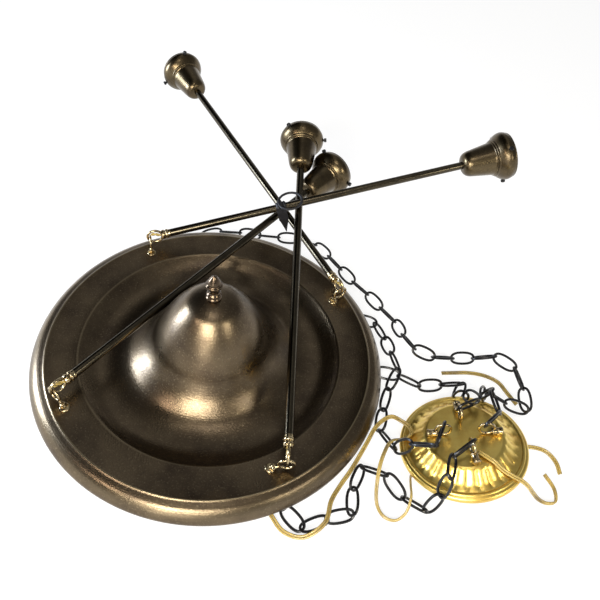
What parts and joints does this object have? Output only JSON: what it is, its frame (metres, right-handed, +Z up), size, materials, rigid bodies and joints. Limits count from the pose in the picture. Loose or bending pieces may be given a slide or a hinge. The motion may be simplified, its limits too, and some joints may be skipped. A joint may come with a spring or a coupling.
{
  "type": "chandelier",
  "caption": "Spun brass pan chandelier lying in a heap: domed pan with a finial, hinged tube pendants with screw-clamp shade holders, oval-link chains and a fluted canopy.",
  "frame": {"origin": "on the floor under the middle of the pan, which is where the pan's axis meets the floor", "axes": "+Z up along the pan's axis, +X to the right of the picture, where the canopy lies, +Y away from the camera, the way the pendants point"},
  "size_m": [0.606, 0.6826, 0.1863],
  "materials": {
    "dark_brass": "antique brown lacquer, worn bright on the edges",
    "rod_brass": "antique brass tube, polished along its length",
    "bright_brass": "bright spun brass",
    "worn_brass": "bare turned brass, bright",
    "black_steel": "steel with an old black finish",
    "gold_lead": "transparent gold insulation over stranded copper",
    "black_strap": "black strap",
    "pale_ceramic": "unglazed porcelain"
  },
  "bodies": {
    "base": {"pan": "dark_brass", "finial_stud": "worn_brass", "pan_loop_right": "worn_brass", "pan_loop_front": "worn_brass", "pan_loop_left": "worn_brass", "pan_loop_back": "worn_brass", "chain_loop_right": "black_steel", "chain_loop_front": "black_steel", "chain_loop_left": "black_steel", "chain_loop_back": "black_steel", "chain_right": "black_steel", "chain_front": "black_steel", "chain_left": "black_steel", "chain_back": "black_steel", "canopy": "bright_brass", "canopy_loop_right": "worn_brass", "canopy_loop_back": "worn_brass", "canopy_loop_left": "worn_brass", "canopy_loop_front": "worn_brass", "lead_front": "gold_lead", "lead_right": "gold_lead", "lead_back": "gold_lead", "lead_edge": "gold_lead"},
    "finial": {"finial": "dark_brass"},
    "pendant_back": {"rod_loop_back": "worn_brass", "rod_back": "rod_brass", "rod_lead_back": "gold_lead", "cup_back": "dark_brass", "socket_back": "pale_ceramic", "tie": "black_strap"},
    "pendant_front": {"rod_loop_front": "worn_brass", "rod_front": "rod_brass", "rod_lead_front": "gold_lead", "cup_front": "dark_brass", "socket_front": "pale_ceramic"},
    "pendant_left": {"rod_loop_left": "worn_brass", "rod_left": "rod_brass", "rod_lead_left": "gold_lead", "cup_left": "dark_brass", "socket_left": "pale_ceramic"},
    "pendant_right": {"rod_loop_right": "worn_brass", "rod_right": "rod_brass", "rod_lead_right": "gold_lead", "cup_right": "dark_brass", "socket_right": "pale_ceramic"},
    "screw_right_1": {"screw_right_1": "black_steel"},
    "screw_right_2": {"screw_right_2": "black_steel"},
    "screw_right_3": {"screw_right_3": "black_steel"},
    "screw_front_1": {"screw_front_1": "black_steel"},
    "screw_front_2": {"screw_front_2": "black_steel"},
    "screw_front_3": {"screw_front_3": "black_steel"},
    "screw_left_1": {"screw_left_1": "black_steel"},
    "screw_left_2": {"screw_left_2": "black_steel"},
    "screw_left_3": {"screw_left_3": "black_steel"},
    "screw_back_1": {"screw_back_1": "black_steel"},
    "screw_back_2": {"screw_back_2": "black_steel"},
    "screw_back_3": {"screw_back_3": "black_steel"}
  },
  "joints": [
    {"name": "finial_turn", "type": "hinge", "parent": "base", "child": "finial", "pos_m": [0, 0, 0.117], "axis": [0, 0, 1], "continuous": true},
    {"name": "pendant_back_lift", "type": "hinge", "parent": "base", "child": "pendant_back", "pos_m": [-0.11115, 0.13153, 0.0505], "axis": [0.3504, -0.9366, 0], "range_deg": [0, 80]},
    {"name": "pendant_front_lift", "type": "hinge", "parent": "base", "child": "pendant_front", "pos_m": [0.10512, -0.13028, 0.0505], "axis": [0.9924, 0.1233, 0], "range_deg": [0, 40]},
    {"name": "pendant_left_lift", "type": "hinge", "parent": "base", "child": "pendant_left", "pos_m": [-0.13884, -0.10236, 0.0505], "axis": [0.8589, -0.5122, 0], "range_deg": [0, 24]},
    {"name": "pendant_right_lift", "type": "hinge", "parent": "base", "child": "pendant_right", "pos_m": [0.13467, 0.10635, 0.0505], "axis": [0.7708, 0.637, 0], "range_deg": [0, 24]},
    {"name": "screw_right_1_out", "type": "slide", "parent": "pendant_right", "child": "screw_right_1", "axis": [0.6022, 0.5572, -0.5717], "range_m": [0, 0.004]},
    {"name": "screw_right_2_out", "type": "slide", "parent": "pendant_right", "child": "screw_right_2", "axis": [-0.7202, -0.5513, -0.4213], "range_m": [0, 0.004]},
    {"name": "screw_right_3_out", "type": "slide", "parent": "pendant_right", "child": "screw_right_3", "axis": [0.118, -0.0059, 0.993], "range_m": [0, 0.004]},
    {"name": "screw_front_1_out", "type": "slide", "parent": "pendant_front", "child": "screw_front_1", "axis": [0.9795, 0.1036, 0.1727], "range_m": [0, 0.004]},
    {"name": "screw_front_2_out", "type": "slide", "parent": "pendant_front", "child": "screw_front_2", "axis": [-0.3514, 0.0542, -0.9347], "range_m": [0, 0.004]},
    {"name": "screw_front_3_out", "type": "slide", "parent": "pendant_front", "child": "screw_front_3", "axis": [-0.6281, -0.1578, 0.7619], "range_m": [0, 0.004]},
    {"name": "screw_left_1_out", "type": "slide", "parent": "pendant_left", "child": "screw_left_1", "axis": [0.8589, -0.5122, 0], "range_m": [0, 0.004]},
    {"name": "screw_left_2_out", "type": "slide", "parent": "pendant_left", "child": "screw_left_2", "axis": [-0.4038, 0.299, -0.8646], "range_m": [0, 0.004]},
    {"name": "screw_left_3_out", "type": "slide", "parent": "pendant_left", "child": "screw_left_3", "axis": [-0.455, 0.2131, 0.8646], "range_m": [0, 0.004]},
    {"name": "screw_back_1_out", "type": "slide", "parent": "pendant_back", "child": "screw_back_1", "axis": [0.3441, -0.3225, -0.8818], "range_m": [0, 0.004]},
    {"name": "screw_back_2_out", "type": "slide", "parent": "pendant_back", "child": "screw_back_2", "axis": [-0.3679, 0.926, 0.0848], "range_m": [0, 0.004]},
    {"name": "screw_back_3_out", "type": "slide", "parent": "pendant_back", "child": "screw_back_3", "axis": [0.0238, -0.6035, 0.797], "range_m": [0, 0.004]}
  ],
  "couplings": [
    {"joint": "pendant_front_lift", "follows": "pendant_back_lift", "ratio": 0.5},
    {"joint": "pendant_left_lift", "follows": "pendant_back_lift", "ratio": 0.3},
    {"joint": "pendant_right_lift", "follows": "pendant_back_lift", "ratio": 0.3}
  ]
}
